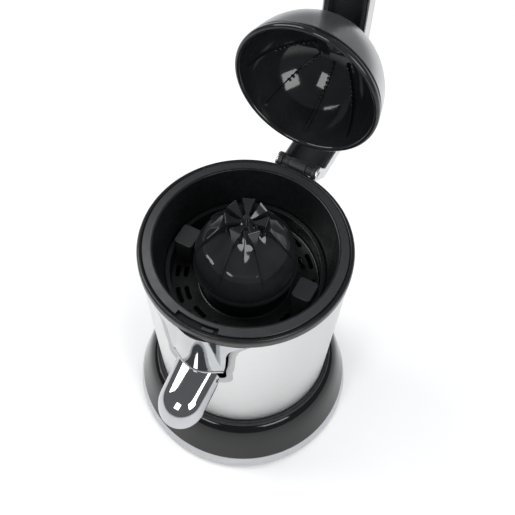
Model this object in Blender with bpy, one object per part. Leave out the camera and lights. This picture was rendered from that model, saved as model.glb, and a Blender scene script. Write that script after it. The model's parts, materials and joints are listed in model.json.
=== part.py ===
"""Citrus press juicer: one object for each piece, in metres, standing on z = 0 with its spout towards -Y.

The lever is modelled closed over the bowl and then turned back about its hinge, which is how it rests here.
"""

import math

import bmesh
import bpy
from mathutils import Matrix, Vector

# Heights of the main levels
RIM_Z = 0.212  # top of the black rim ring
SKIRT_Z = 0.0115  # lower edge of the flared base
SKIRT_TOP_Z = 0.0510
SHELL_Z = (0.0537, 0.2037)  # steel shell, bottom and top

# Radii of the main rings
RIM_R = 0.0800
SHELL_R = (0.0703, 0.0793)  # steel shell, bottom and top
SHELL_WALL = 0.0010
BOWL_MOUTH_R = 0.0679
SKIRT_R = (0.0887, 0.0752)  # flared base, bottom and top

# Front opening of the shell, from the spout up to the rim: half width at each height
PANEL_OUTLINE = (
    (0.0210, 0.1560), (0.0223, 0.1630), (0.0236, 0.1840), (0.0260, 0.1925), (0.0306, 0.1986), (0.0370, 0.2036),
)
OPENING_BOTTOM_Z = 0.1380
SEAM = 0.0012

# Lever
HINGE = Vector((0.0, 0.0865, 0.2070))
OPEN_ANGLE = math.radians(92.7)
ARM_W = 0.0155  # half width of the black arm
COVER_W = 0.0176  # half width of the steel cover over it
ARM_FRONT, ARM_BACK = 0.0070, 0.0172  # upright run, measured back from the hinge
ARM_UNDER, ARM_TOP = 0.0556, 0.0660  # level run, measured up from the hinge
ARM_REACH = -0.2080
DOME_Z = 0.2020  # rim of the closed dome
DOME_R, DOME_H = 0.0522, 0.0560
DOME_RIBS = 9

# Spout
SPOUT_Y, SPOUT_L, SPOUT_NOSE = -0.0750, 0.0435, 0.0180
SPOUT_W, SPOUT_WALL = 0.0186, 0.0020
SPOUT_PIVOT = Vector((0.0, -0.0775, 0.1445))

# Cone: (radius, height) up its body, and round the outline of one of its fins
CONE_FINS = 7
FIN_TURN = -3.6  # degrees from the front to the first fin
FIN_HALF = 0.0006
CONE_LINE = (
    (0.0375, 0.1880), (0.0393, 0.1888), (0.0393, 0.1918), (0.0384, 0.1934), (0.0384, 0.2010),
    (0.0357, 0.2108), (0.0317, 0.2180), (0.0290, 0.2196), (0.0240, 0.2236), (0.0180, 0.2292),
    (0.0100, 0.2372), (0.0045, 0.2420), (0.0030, 0.2425), (0.0026, 0.2460), (0.0, 0.2466),
)
FIN_LINE = (
    (0.0362, 0.2108), (0.0323, 0.2186), (0.0275, 0.2256), (0.0220, 0.2330), (0.0180, 0.2402), (0.0150, 0.2470),
    (0.0128, 0.2523), (0.0118, 0.2530), (0.0040, 0.2520), (0.0031, 0.2430), (0.0090, 0.2340), (0.0180, 0.2260),
    (0.0290, 0.2160), (0.0340, 0.2090),
)

# Strainer
PLATE_Z = 0.1656
SLOT_ROWS = ((0.0439, 0.0475), (0.0504, 0.0540))
SLOT_CENTRES = ((0, 9), (21, 16), (45, 16), (69, 12))  # degrees from the front: centre and length
TAB_TOP_Z = 0.1890

# Drive: motor pinion -> idler -> output gear on the cone's shaft
MODULE_1, PINION_1, WHEEL_1 = 0.0010, 11, 44
MODULE_2, PINION_2, WHEEL_2 = 0.0011, 11, 55
IDLER = Vector((MODULE_2 * (PINION_2 + WHEEL_2) / 2, 0.0, 0.0))
MOTOR_BEARING = math.radians(150)
MOTOR_OFFSET = MODULE_1 * (PINION_1 + WHEEL_1) / 2
MOTOR = IDLER + MOTOR_OFFSET * Vector((math.cos(MOTOR_BEARING), math.sin(MOTOR_BEARING), 0.0))
GEAR_PLATE_Z, GEAR_COVER_Z = 0.0740, 0.1120
POST_R, POST_ANGLES = 0.0520, (70, 180, 290)

FOOT_R, FOOT_ANGLES = 0.0680, (45, 135, 225, 315)
GAP = 0.0003

# Sides of the round pieces
LARGE, MEDIUM, SMALL, TINY = 36, 24, 14, 10


# ---------------------------------------------------------------- helpers


def clear_scene():
    for obj in list(bpy.data.objects):
        bpy.data.objects.remove(obj, do_unlink=True)


def material(name, colour, roughness, metallic=0.0):
    found = bpy.data.materials.get(name)
    if found:
        return found
    made = bpy.data.materials.new(name)
    made.use_nodes = True
    shader = made.node_tree.nodes["Principled BSDF"]
    shader.inputs["Base Color"].default_value = (*colour, 1.0)
    shader.inputs["Roughness"].default_value = roughness
    shader.inputs["Metallic"].default_value = metallic
    return made


def tidy(bm):
    bmesh.ops.remove_doubles(bm, verts=bm.verts, dist=1e-6)
    bmesh.ops.dissolve_degenerate(bm, edges=bm.edges, dist=1e-7)
    bmesh.ops.recalc_face_normals(bm, faces=bm.faces)
    return bm


def add(name, bm, look, parent=None):
    """A named object from a bmesh, given in world coordinates."""
    mesh = bpy.data.meshes.new(name)
    tidy(bm).to_mesh(mesh)
    bm.free()
    mesh.materials.append(look)
    mesh.shade_smooth()
    mesh.set_sharp_from_angle(angle=math.radians(32))
    obj = bpy.data.objects.new(name, mesh)
    bpy.context.scene.collection.objects.link(obj)
    if parent:
        obj.parent = parent
        obj.matrix_parent_inverse = Matrix.Translation(parent.location).inverted()
    return obj


def boolean(obj, bm, operation):
    """Cuts a helper shape from obj, or joins it to obj."""
    mesh = bpy.data.meshes.new(f"{obj.name}_{operation.lower()}")
    tidy(bm).to_mesh(mesh)
    bm.free()
    helper = bpy.data.objects.new(mesh.name, mesh)
    bpy.context.scene.collection.objects.link(helper)
    helper.hide_render = True
    helper.display_type = "WIRE"
    if obj.parent:
        helper.parent = obj.parent
        helper.matrix_parent_inverse = obj.matrix_parent_inverse
    modifier = obj.modifiers.new(operation.title(), "BOOLEAN")
    modifier.operation = operation
    modifier.solver = "EXACT"
    modifier.object = helper


def cut(obj, bm):
    boolean(obj, bm, "DIFFERENCE")


def join(obj, bm):
    boolean(obj, bm, "UNION")


def lathe(points, steps=LARGE, centre=(0.0, 0.0)):
    """A closed (radius, height) outline spun about the vertical; ends on the axis make it solid."""
    bm = bmesh.new()
    verts = [bm.verts.new((r, 0.0, z)) for r, z in points]
    edges = [bm.edges.new(pair) for pair in zip(verts, verts[1:] + verts[:1])]
    if points[0][0] == 0.0 and points[-1][0] == 0.0:
        bm.edges.remove(edges.pop())
    bmesh.ops.spin(
        bm, geom=verts + edges, cent=(0, 0, 0), axis=(0, 0, 1), angle=2 * math.pi, steps=steps, use_merge=True
    )
    bmesh.ops.translate(bm, verts=bm.verts, vec=(*centre, 0.0))
    return tidy(bm)


def rod(radius, low, high, steps=SMALL, centre=(0.0, 0.0)):
    return lathe([(0.0, high), (radius, high), (radius, low), (0.0, low)], steps, centre)


def ring(inner, outer, low, high, steps=MEDIUM, centre=(0.0, 0.0)):
    return lathe([(inner, high), (outer, high), (outer, low), (inner, low)], steps, centre)


def prism(outline, axis, low, high):
    """A flat outline pushed along an axis: (y, z) along X, (x, z) along Y or (x, y) along Z."""
    place = {
        "X": lambda a, b: (low, a, b),
        "Y": lambda a, b: (a, low, b),
        "Z": lambda a, b: (a, b, low),
    }[axis]
    push = {"X": (high - low, 0, 0), "Y": (0, high - low, 0), "Z": (0, 0, high - low)}[axis]
    bm = bmesh.new()
    face = bm.faces.new([bm.verts.new(place(a, b)) for a, b in outline])
    pushed = bmesh.ops.extrude_face_region(bm, geom=[face])
    moved = [v for v in pushed["geom"] if isinstance(v, bmesh.types.BMVert)]
    bmesh.ops.translate(bm, verts=moved, vec=push)
    return tidy(bm)


def block(x, y, z):
    return prism([(x[0], y[0]), (x[1], y[0]), (x[1], y[1]), (x[0], y[1])], "Z", *z)


def cross_rod(radius, low, high, y, z, steps=16):
    """A round rod along X."""
    outline = [(y + a, z + b) for a, b in arc((0, 0), radius, 0, 360, steps)[:-1]]
    return prism(outline, "X", low, high)


def merged(*parts):
    """Several separate closed shapes in one bmesh, for cutting or joining in one go."""
    whole = bmesh.new()
    for part in parts:
        mesh = bpy.data.meshes.new("piece")
        part.to_mesh(mesh)
        part.free()
        whole.from_mesh(mesh)
        bpy.data.meshes.remove(mesh)
    return whole


def arc(centre, radius, start, end, steps):
    """Points along an arc, in degrees counter-clockwise from the first axis."""
    turn = [math.radians(start + (end - start) * i / steps) for i in range(steps + 1)]
    return [(centre[0] + radius * math.cos(t), centre[1] + radius * math.sin(t)) for t in turn]


def polar(radius, degrees):
    """A point at an angle from the front (-Y), towards +X."""
    angle = math.radians(degrees)
    return radius * math.sin(angle), -radius * math.cos(angle)


def shell_radius(z):
    share = (z - SHELL_Z[0]) / (SHELL_Z[1] - SHELL_Z[0])
    return SHELL_R[0] + (SHELL_R[1] - SHELL_R[0]) * share


def sheet_solid(outer, inner):
    """A closed solid between two grids of points of the same size, with walls round their borders."""
    bm = bmesh.new()
    rows, columns = len(outer), len(outer[0])
    grids = [[[bm.verts.new(p) for p in row] for row in grid] for grid in (outer, inner)]
    for grid in grids:
        for i in range(rows - 1):
            for j in range(columns - 1):
                bm.faces.new((grid[i][j], grid[i][j + 1], grid[i + 1][j + 1], grid[i + 1][j]))
    border = [(0, j) for j in range(columns)] + [(i, columns - 1) for i in range(1, rows)]
    border += [(rows - 1, j) for j in range(columns - 2, -1, -1)] + [(i, 0) for i in range(rows - 2, 0, -1)]
    for (i, j), (k, m) in zip(border, border[1:] + border[:1]):
        bm.faces.new((grids[0][i][j], grids[0][k][m], grids[1][k][m], grids[1][i][j]))
    return tidy(bm)


# ---------------------------------------------------------------- base and body


def base(looks):
    add("base_plate", rod(0.0830, 0.0040, 0.0070, LARGE), looks["black"])
    for i, angle in enumerate(FOOT_ANGLES):
        foot = lathe(
            [(0.0, 0.0037), (0.0080, 0.0037), (0.0078, 0.0), (0.0, 0.0)], TINY, polar(FOOT_R, angle)
        )
        add(f"foot_{i + 1}", foot, looks["rubber"])
    trim = [(0.0835, 0.0112), (0.0888, 0.0112), (0.0908, 0.0045), (0.0900, 0.0035), (0.0835, 0.0035)]
    add("base_ring", lathe(trim), looks["grey_trim"])


def skirt_radius(z):
    """The flared base widens faster towards its foot."""
    share = (SKIRT_TOP_Z - z) / (SKIRT_TOP_Z - SKIRT_Z)
    return SKIRT_R[1] + (SKIRT_R[0] - SKIRT_R[1]) * (0.62 * share + 0.38 * math.sin(share * math.pi / 2))


def base_skirt(looks):
    steps = 4
    heights = [SKIRT_TOP_Z - 0.001 - (SKIRT_TOP_Z - 0.001 - SKIRT_Z) * i / steps for i in range(steps + 1)]
    outer = [(skirt_radius(z), z) for z in heights]
    inner = [(r - 0.0025, z) for r, z in reversed(outer[1:])]
    ledge = [(0.0660, SKIRT_TOP_Z), (0.0742, SKIRT_TOP_Z)]
    outline = ledge + outer + inner + [(0.0715, 0.0485), (0.0660, 0.0485)]
    skirt = add("base_skirt", lathe(outline), looks["gloss_black"])
    hole = prism(arc((0.0, 0.024), 0.0063, 0, 360, 16)[:-1], "Y", 0.060, 0.100)
    cut(skirt, hole)
    gland = add(
        "cord_gland", prism(arc((0.0, 0.024), 0.0060, 0, 360, 16)[:-1], "Y", 0.0760, 0.0905), looks["rubber"]
    )
    cut(gland, prism(arc((0.0, 0.024), 0.0032, 0, 360, 16)[:-1], "Y", 0.0700, 0.1000))


def body_gasket(looks):
    outline = [
        (0.0680, 0.0533), (0.0706, 0.0533), (0.0709, 0.0546), (0.0722, 0.0546), (0.0745, 0.0524),
        (0.0745, 0.0513), (0.0680, 0.0513),
    ]
    add("body_gasket", lathe(outline), looks["rubber"])


def opening_outline(margin):
    """The shell's front opening: narrow at the spout, flaring out under the rim, and open at the top."""
    right = [(w + margin, z) for w, z in PANEL_OUTLINE]
    low = OPENING_BOTTOM_Z + SEAM - margin
    corner = arc((right[0][0] - 0.006, low + 0.006), 0.006, -90, 0, 4)
    right = corner + right + [(right[-1][0] + 0.006, RIM_Z - 0.0035)]
    return right + [(-x, z) for x, z in reversed(right)]


def steel_shell(looks):
    outline = [
        (SHELL_R[0], SHELL_Z[0]), (SHELL_R[1], SHELL_Z[1]),
        (SHELL_R[1] - SHELL_WALL, SHELL_Z[1]), (SHELL_R[0] - SHELL_WALL, SHELL_Z[0]),
    ]
    shell = add("steel_shell", lathe(outline), looks["steel"])
    cut(shell, prism(opening_outline(SEAM), "Y", -0.100, -0.050))


def inner_housing(looks):
    """The liner inside the shell: a wall, a deck over the gears and a hollow tower for the cone's shaft."""
    wall = SHELL_WALL + 0.0005
    outline = [
        (shell_radius(0.2035) - wall, 0.2035), (shell_radius(0.130) - wall, 0.130), (0.0718, 0.130),
        (0.0718, 0.1320), (0.0090, 0.1320), (0.0073, 0.1335), (0.0073, 0.1740), (0.0104, 0.1740),
        (0.0104, 0.1355), (shell_radius(0.1355) - wall - 0.002, 0.1355),
        (shell_radius(0.2035) - wall - 0.002, 0.2035),
    ]
    housing = add("inner_housing", lathe(outline), looks["black"])
    cut(housing, prism(opening_outline(SEAM + 0.001), "Y", -0.100, -0.050))
    bush = [(0.0043, 0.1735), (0.0070, 0.1735), (0.0070, 0.1600), (0.0043, 0.1600)]
    add("shaft_bush", lathe(bush, SMALL), looks["brass"])


def chassis(looks):
    add("chassis_tube", ring(0.0650, 0.0675, 0.0560, 0.1295), looks["black"])
    plate = add("gear_plate", rod(0.0645, GEAR_PLATE_Z, GEAR_PLATE_Z + 0.002, MEDIUM), looks["zinc"])
    cut(plate, rod(0.0040, 0.070, 0.080, SMALL, MOTOR.xy))
    cover = add("gear_cover", rod(0.0645, GEAR_COVER_Z, GEAR_COVER_Z + 0.003, MEDIUM), looks["zinc"])
    cut(cover, rod(0.0046, 0.100, 0.120))
    for i, angle in enumerate(POST_ANGLES):
        x, y = POST_R * math.cos(math.radians(angle)), POST_R * math.sin(math.radians(angle))
        post = rod(0.0040, GEAR_PLATE_Z + 0.0023, GEAR_COVER_Z - GAP, TINY, (x, y))
        add(f"gear_post_{i + 1}", post, looks["zinc"])
        head = [(0.0, 0.1175), (0.0020, 0.1175), (0.0035, 0.1165), (0.0035, 0.1153), (0.0, 0.1153)]
        add(f"gear_screw_{i + 1}", lathe(head, TINY, (x, y)), looks["zinc"])


# ---------------------------------------------------------------- drive


def gear_outline(teeth, module, centre, turn):
    """Straight-flanked teeth with backlash, starting with a tooth at the angle turn."""
    pitch_r, step = module * teeth / 2, 2 * math.pi / teeth
    profile = ((-1.20, -0.36), (0.85, -0.105), (0.85, 0.105), (-1.20, 0.36))
    points = []
    for k in range(teeth):
        for depth, share in profile:
            r, t = pitch_r + depth * module, turn + (k + share) * step
            points.append((centre[0] + r * math.cos(t), centre[1] + r * math.sin(t)))
    return points


def gear(name, teeth, module, span, bore, centre, turn, look):
    obj = add(name, prism(gear_outline(teeth, module, centre, turn), "Z", *span), look)
    cut(obj, rod(bore, span[0] - 0.001, span[1] + 0.001, SMALL, centre))
    return obj


def gear_train(looks):
    gear("output_gear", WHEEL_2, MODULE_2, (0.0970, 0.1050), 0.0043, (0.0, 0.0), 0.0, looks["nylon"])
    gear(
        "idler_pinion", PINION_2, MODULE_2, (0.0923, 0.1085), 0.0028, IDLER.xy,
        math.pi + math.pi / PINION_2, looks["zinc"],
    )
    gear("idler_wheel", WHEEL_1, MODULE_1, (0.0840, 0.0920), 0.0028, IDLER.xy, MOTOR_BEARING, looks["nylon"])
    gear(
        "motor_pinion", PINION_1, MODULE_1, (0.0835, 0.0925), 0.0031, MOTOR.xy,
        MOTOR_BEARING + math.pi + math.pi / PINION_1, looks["brass"],
    )
    add("idler_pin", rod(0.0025, GEAR_PLATE_Z + 0.0023, GEAR_COVER_Z - GAP, SMALL, IDLER.xy), looks["zinc"])


def motor(looks):
    can = [
        (0.0034, 0.0697), (0.0300, 0.0697), (0.0300, 0.0180), (0.0060, 0.0180), (0.0060, 0.0200),
        (0.0280, 0.0200), (0.0280, 0.0677), (0.0034, 0.0677),
    ]
    add("motor_can", lathe(can, MEDIUM, MOTOR.xy), looks["zinc"])
    add("motor_stator", ring(0.0190, 0.0276, 0.0280, 0.0600, MEDIUM, MOTOR.xy), looks["copper"])
    rotor = [
        (0.0, 0.0940), (0.0028, 0.0940), (0.0028, 0.0600), (0.0180, 0.0590), (0.0180, 0.0300),
        (0.0040, 0.0290), (0.0040, 0.0230), (0.0, 0.0230),
    ]
    add("motor_rotor", lathe(rotor, SMALL, MOTOR.xy), looks["zinc"])
    add("motor_cradle", ring(0.0200, 0.0240, 0.0073, 0.0177, MEDIUM, MOTOR.xy), looks["black"])


def hexagon(radius):
    return arc((0.0, 0.0), radius, 0, 360, 6)[:-1]


def shaft(looks):
    """The cone's shaft turns in a cup that a spring holds up; pressing it down works the switch."""
    stem = [(0.0, 0.1790), (0.0040, 0.1790), (0.0040, 0.0886), (0.0, 0.0886)]
    drive = add("drive_shaft", lathe(stem, SMALL), looks["steel_plain"])
    join(drive, prism(hexagon(0.0046), "Z", 0.1770, 0.2225))
    cup = [(0.0, 0.0883), (0.0044, 0.0883), (0.0044, 0.0912), (0.0080, 0.0912), (0.0080, 0.0860), (0.0, 0.0860)]
    thrust = add("thrust_cup", lathe(cup, SMALL), looks["nylon"])
    join(thrust, block((-0.0180, -0.0072), (-0.0030, 0.0030), (0.0890, 0.0910)))


def press_spring(looks):
    """A coil of round wire between the gear plate and the thrust cup."""
    turns, wire, radius, low, high = 4, 0.0005, 0.0058, 0.0770, 0.0849
    per_turn, sides = 10, 4
    bm, rows = bmesh.new(), []
    for i in range(turns * per_turn + 1):
        t = 2 * math.pi * i / per_turn
        z = low + (high - low) * i / (turns * per_turn)
        out = Vector((math.cos(t), math.sin(t), 0.0))
        row = [(math.cos(a), math.sin(a)) for a in (2 * math.pi * k / sides for k in range(sides))]
        rows.append([bm.verts.new(out * (radius + wire * c) + Vector((0, 0, z + wire * s))) for c, s in row])
    for a, b in zip(rows, rows[1:]):
        for k in range(sides):
            bm.faces.new((a[k], b[k], b[(k + 1) % sides], a[(k + 1) % sides]))
    bm.faces.new(rows[0])
    bm.faces.new(list(reversed(rows[-1])))
    add("press_spring", bm, looks["steel_plain"])


def micro_switch(looks):
    body = add("micro_switch", block((-0.0310, -0.0140), (-0.0030, 0.0030), (0.0763, 0.0835)), looks["black"])
    join(body, block((-0.0310, -0.0287), (-0.0030, 0.0030), (0.0830, 0.0884)))
    add("switch_lever", block((-0.0284, -0.0140), (-0.0022, 0.0022), (0.0876, 0.0884)), looks["zinc"])


# ---------------------------------------------------------------- juice bowl and spout


def rim_ring(looks):
    outline = [
        (0.0764, RIM_Z), (0.0790, RIM_Z), (RIM_R, 0.2108), (RIM_R, 0.2046), (0.0794, 0.2040),
        (0.0722, 0.2040), (0.0722, 0.2097), (0.0764, 0.2097),
    ]
    add("rim_ring", lathe(outline), looks["black"])
    x0, y0 = polar(0.0750, 6.8)
    key = block((x0 - 0.0045, x0 + 0.0045), (y0 - 0.0004, y0 + 0.0026), (0.2100, 0.2112))
    add("bowl_key", key, looks["black"])


def juice_bowl(looks):
    outline = [
        (0.0761, 0.2121), (BOWL_MOUTH_R, 0.2136), (0.0614, 0.1822), (0.0614, 0.1788), (0.0594, 0.1788),
        (0.0592, 0.1480), (0.0550, 0.1434), (0.0132, 0.1434), (0.0132, 0.1780), (0.0062, 0.1780),
        (0.0062, 0.1760), (0.0110, 0.1760), (0.0110, 0.1414), (0.0560, 0.1414), (0.0612, 0.1470),
        (0.0634, 0.1800), (0.0696, 0.2100), (0.0761, 0.2100),
    ]
    bowl = add("juice_bowl", lathe(outline), looks["black"])
    join(bowl, block((-0.0100, 0.0100), (-0.0785, -0.0560), (0.1416, 0.1494)))
    cut(bowl, block((-0.0085, 0.0085), (-0.0800, -0.0500), (0.1436, 0.1480)))
    cut(bowl, front_notch())
    cut(bowl, cross_rod(0.0014, -0.012, 0.012, SPOUT_PIVOT.y, SPOUT_PIVOT.z, 12))


def front_notch():
    """The step in the bowl's flange over the bowl key: an annular sector, 26 degrees wide."""
    angles = [-13 + 26 * i / 6 for i in range(7)]
    outline = [polar(0.0720, a) for a in angles] + [polar(0.0790, a) for a in reversed(angles)]
    return prism(outline, "Z", 0.2070, 0.2160)


def hood(x, z):
    """How far the moulded hood over the spout stands out of the panel."""
    share = (PANEL_OUTLINE[-1][1] - z) / (PANEL_OUTLINE[-1][1] - PANEL_OUTLINE[0][1])
    width, depth = 0.0105 + 0.0085 * share, 0.0016 + 0.0029 * share
    return depth * math.cos(math.pi * x / (2 * width)) ** 0.8 if abs(x) < width else 0.0


def spout_panel(looks):
    columns = 12
    outer, inner = [], []
    for half_width, z in PANEL_OUTLINE:
        panel_row(outer, inner, half_width, z, columns)
    add("spout_panel", sheet_solid(outer, inner), looks["chrome"])


def panel_row(outer, inner, half_width, z, columns):
    face = shell_radius(z) + 0.0004
    xs = [half_width * (2 * j / columns - 1) for j in range(columns + 1)]
    outer.append([(x, -math.sqrt(face**2 - x**2) - hood(x, z), z) for x in xs])
    inner.append([(x, -math.sqrt((face - 0.0018) ** 2 - x**2), z) for x in xs])


def spout_row(s, inset):
    """One cross-section of the beak at the distance s from its root: an arch that closes at the nose."""
    nose = max(0.0, (s - (SPOUT_L - inset - SPOUT_NOSE)) / SPOUT_NOSE)
    plan = math.sqrt(max(0.0, 1 - nose**2))
    crest = max(0.0, 1 - nose**2.6) ** (1 / 2.6)
    width = (SPOUT_W - inset - 0.014 * s) * plan
    low = 0.1405 - 0.40 * s
    high = (0.0150 - inset + 0.094 * s) * crest
    row = []
    for k in range(9):
        t = math.pi * k / 8
        c, h = math.cos(t), math.sin(t)
        across = math.copysign(abs(c) ** 0.87, c) * width
        row.append((across, SPOUT_Y - s, low + high * h**0.87))
    return row


def spout(looks, pivot):
    stations = [0.0, 0.012, 0.0250, 0.0310, 0.0360, 0.0395, 0.0420, SPOUT_L]
    outer = [spout_row(s, 0.0) for s in stations]
    shrink = (SPOUT_L - SPOUT_WALL) / SPOUT_L
    inner = [spout_row(s * shrink, SPOUT_WALL) for s in stations]
    beak = add("spout", sheet_solid(outer, inner), looks["chrome"], pivot)
    near, far = 0.0045, 0.0230
    corners = ((near, 0.0004), (far, 0.0004), (far, 0.0022), (near, 0.0022))
    floor = [(SPOUT_Y - s, 0.1405 - 0.40 * s + up) for s, up in corners]
    join(beak, prism(floor, "X", -0.0172, 0.0172))
    cut(beak, cross_rod(0.0016, -0.030, 0.030, SPOUT_PIVOT.y, SPOUT_PIVOT.z, 12))
    for side, name in ((-1, "spout_pin_left"), (1, "spout_pin_right")):
        ends = sorted((side * 0.0088, side * 0.0172))
        add(name, cross_rod(0.0011, *ends, SPOUT_PIVOT.y, SPOUT_PIVOT.z, 12), looks["steel_plain"])


# ---------------------------------------------------------------- strainer and cone


def slot(inner, outer, centre, length):
    angles = [centre - length / 2, centre, centre + length / 2]
    outline = [polar(inner, a) for a in angles] + [polar(outer, a) for a in reversed(angles)]
    return prism(outline, "Z", PLATE_Z - 0.004, PLATE_Z + 0.002)


def slot_angles():
    """Every slot's centre and length, mirrored into the four quarters between the two grips."""
    for centre, length in SLOT_CENTRES:
        for angle in sorted({centre, -centre, 180 - centre, centre - 180} if centre else {0, 180}):
            yield angle, length


def strainer(looks):
    outline = [
        (0.0572, 0.1810), (0.0606, 0.1810), (0.0606, 0.1791), (0.0589, 0.1791), (0.0587, 0.1636),
        (0.0332, 0.1636), (0.0312, 0.1790), (0.0146, 0.1790), (0.0146, 0.1810), (0.0330, 0.1810),
        (0.0350, PLATE_Z), (0.0570, PLATE_Z),
    ]
    basket = add("strainer", lathe(outline), looks["black"])
    grips = []
    for side in (-1, 1):
        near, far, half, corner = 0.0420, 0.0574, 0.0090, 0.003
        shape = [
            *arc((far - corner, half - corner), corner, 0, 90, 3),
            *arc((near + corner, half - corner), corner, 90, 180, 3),
            *arc((near + corner, corner - half), corner, 180, 270, 3),
            *arc((far - corner, corner - half), corner, 270, 360, 3),
        ]
        grips.append(prism([(side * x, y) for x, y in shape], "Z", PLATE_Z - 0.001, TAB_TOP_Z))
    join(basket, merged(*grips))
    cut(basket, merged(*[slot(*row, *where) for row in SLOT_ROWS for where in slot_angles()]))


def cone(looks):
    """A domed body with seven thin fins that meet at a centre post, hollow underneath."""
    hollow = ((0.0, 0.2280), (0.0070, 0.2270), (0.0225, 0.2130), (0.0330, 0.2000), (0.0346, 0.1880))
    body = add("cone", lathe(hollow + CONE_LINE), looks["gloss_black"])
    join(body, merged(*[fin(FIN_TURN + 360 * k / CONE_FINS) for k in range(CONE_FINS)]))
    join(body, rod(0.0078, 0.1900, 0.2320))
    cut(body, prism(hexagon(0.0050), "Z", 0.1850, 0.2230))


def fin(angle):
    plate = prism([(-r, z) for r, z in FIN_LINE], "X", -FIN_HALF, FIN_HALF)
    bmesh.ops.rotate(plate, verts=plate.verts, cent=(0, 0, 0), matrix=Matrix.Rotation(math.radians(angle), 3, "Z"))
    return plate


# ---------------------------------------------------------------- lever and dome


def arm_outline(grow):
    """Side view of the arm, (y, z) from the hinge, with its back and top faces moved out by grow."""
    back, top, inside, outside = ARM_BACK + grow, ARM_TOP + grow, 0.0070, 0.0200 + grow
    points = arc((0.0, 0.0), 0.0060, 300, 105, 8)
    points += [(ARM_FRONT, 0.0140)]
    points += arc((ARM_FRONT - inside, ARM_UNDER - inside), inside, 0, 90, 4)
    points += arc((ARM_REACH + 0.005, ARM_UNDER + 0.005), 0.005, 270, 180, 3)
    points += arc((ARM_REACH + 0.005, top - 0.005), 0.005, 180, 90, 3)
    points += arc((back - outside, top - outside), outside, 90, 0, 6)
    points += [(back, 0.0140)]
    return points


def channel_outline(web, grow=0.0):
    """What is cut from the arm between its two cheeks, leaving a web at the back and the top."""
    back, top, outside = ARM_BACK + grow - web, ARM_TOP + grow - web, 0.0180
    points = [(-0.030, -0.020), (0.040, -0.020), (0.040, 0.0080), (back, 0.0080)]
    points += arc((back - outside, top - outside), outside, 0, 90, 6)
    return points + [(ARM_REACH + 0.004, top), (ARM_REACH + 0.004, 0.040), (-0.030, 0.040)]


def at_hinge(outline):
    return [(HINGE.y + y, HINGE.z + z) for y, z in outline]


def lever_arm(looks, pivot):
    arm = add("lever_arm", prism(at_hinge(arm_outline(0.0)), "X", -ARM_W, ARM_W), looks["black"], pivot)
    cut(arm, prism(at_hinge(channel_outline(0.0022)), "X", 0.0026 - ARM_W, ARM_W - 0.0026))
    cut(arm, cross_rod(0.0028, -0.030, 0.030, HINGE.y, HINGE.z))
    jacket = prism(at_hinge(arm_outline(0.0018)), "X", -COVER_W, COVER_W)
    cover = add("lever_cover", jacket, looks["steel"], pivot)
    cut(cover, prism(at_hinge(cover_inside()), "X", -ARM_W - GAP, ARM_W + GAP))
    cut(cover, cross_rod(0.0028, -0.030, 0.030, HINGE.y, HINGE.z))
    grip = block((-0.0125, 0.0125), (-0.2035, -0.1480), (0.0570, 0.0634))
    bmesh.ops.translate(grip, verts=grip.verts, vec=HINGE)
    add("handle_grip", grip, looks["rubber"], pivot)


def cover_inside():
    """The room inside the steel cover: the black arm's own outline with a small gap behind and above it."""
    back, top, outside = ARM_BACK + GAP, ARM_TOP + GAP, 0.0200 + GAP
    points = [(-0.030, -0.020), (0.040, -0.020), (0.040, 0.0040), (back, 0.0040)]
    points += arc((back - outside, top - outside), outside, 0, 90, 6)
    return points + [(ARM_REACH - 0.010, top), (ARM_REACH - 0.010, 0.040), (-0.030, 0.040)]


def hinge(looks):
    knuckle = arc((HINGE.y, HINGE.z), 0.0050, -20, 180, 10)
    outline = knuckle + [(0.0808, 0.2030), (0.0806, 0.1780), (0.0870, 0.1780), (0.0905, 0.1900)]
    bracket = add("hinge_bracket", prism(outline, "X", -0.0070, 0.0070), looks["black"])
    cut(bracket, cross_rod(0.0028, -0.030, 0.030, HINGE.y, HINGE.z))
    add("hinge_pin", cross_rod(0.0025, -0.0182, 0.0182, HINGE.y, HINGE.z), looks["steel_plain"])
    for side, name in ((-1, "hinge_washer_left"), (1, "hinge_washer_right")):
        ends = sorted((side * 0.0073, side * 0.0126))
        washer = add(name, cross_rod(0.0042, *ends, HINGE.y, HINGE.z), looks["black"])
        cut(washer, cross_rod(0.0028, -0.030, 0.030, HINGE.y, HINGE.z))


def dome_curve(radius, height, start, end, steps):
    """(radius, height) points up the dome's wall, in degrees from its rim."""
    turn = [math.radians(start + (end - start) * i / steps) for i in range(steps + 1)]
    return [(radius * math.cos(t), DOME_Z + height * math.sin(t)) for t in turn]


def dome(looks, pivot):
    inner = dome_curve(DOME_R, DOME_H, 0, 87.3, 6)
    outer = dome_curve(DOME_R + 0.0022, DOME_H + 0.0022, 87.3, 4.5, 6)
    outline = inner + outer + [(0.0562, 0.2055), (0.0562, DOME_Z)]
    press = add("press_dome", lathe(outline, MEDIUM + 4), looks["gloss_black"], pivot)
    join(press, merged(*[dome_rib(180 + 360 * k / DOME_RIBS) for k in range(DOME_RIBS)]))
    inside = dome_curve(DOME_R + 0.0025, DOME_H + 0.0025, 4.8, 87.3, 6)
    outside = dome_curve(DOME_R + 0.0038, DOME_H + 0.0038, 87.4, 4.0, 6)
    add("dome_cover", lathe(inside + outside, MEDIUM + 4), looks["steel"], pivot)
    add("dome_neck", ring(0.0024, 0.0090, 0.2624, 0.2705, SMALL), looks["black"], pivot)
    screw = [
        (0.0, 0.2700), (0.0019, 0.2700), (0.0019, 0.2574), (0.0042, 0.2574), (0.0042, 0.2556),
        (0.0030, 0.2548), (0.0, 0.2548),
    ]
    add("dome_screw", lathe(screw, TINY), looks["steel_plain"], pivot)


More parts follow.
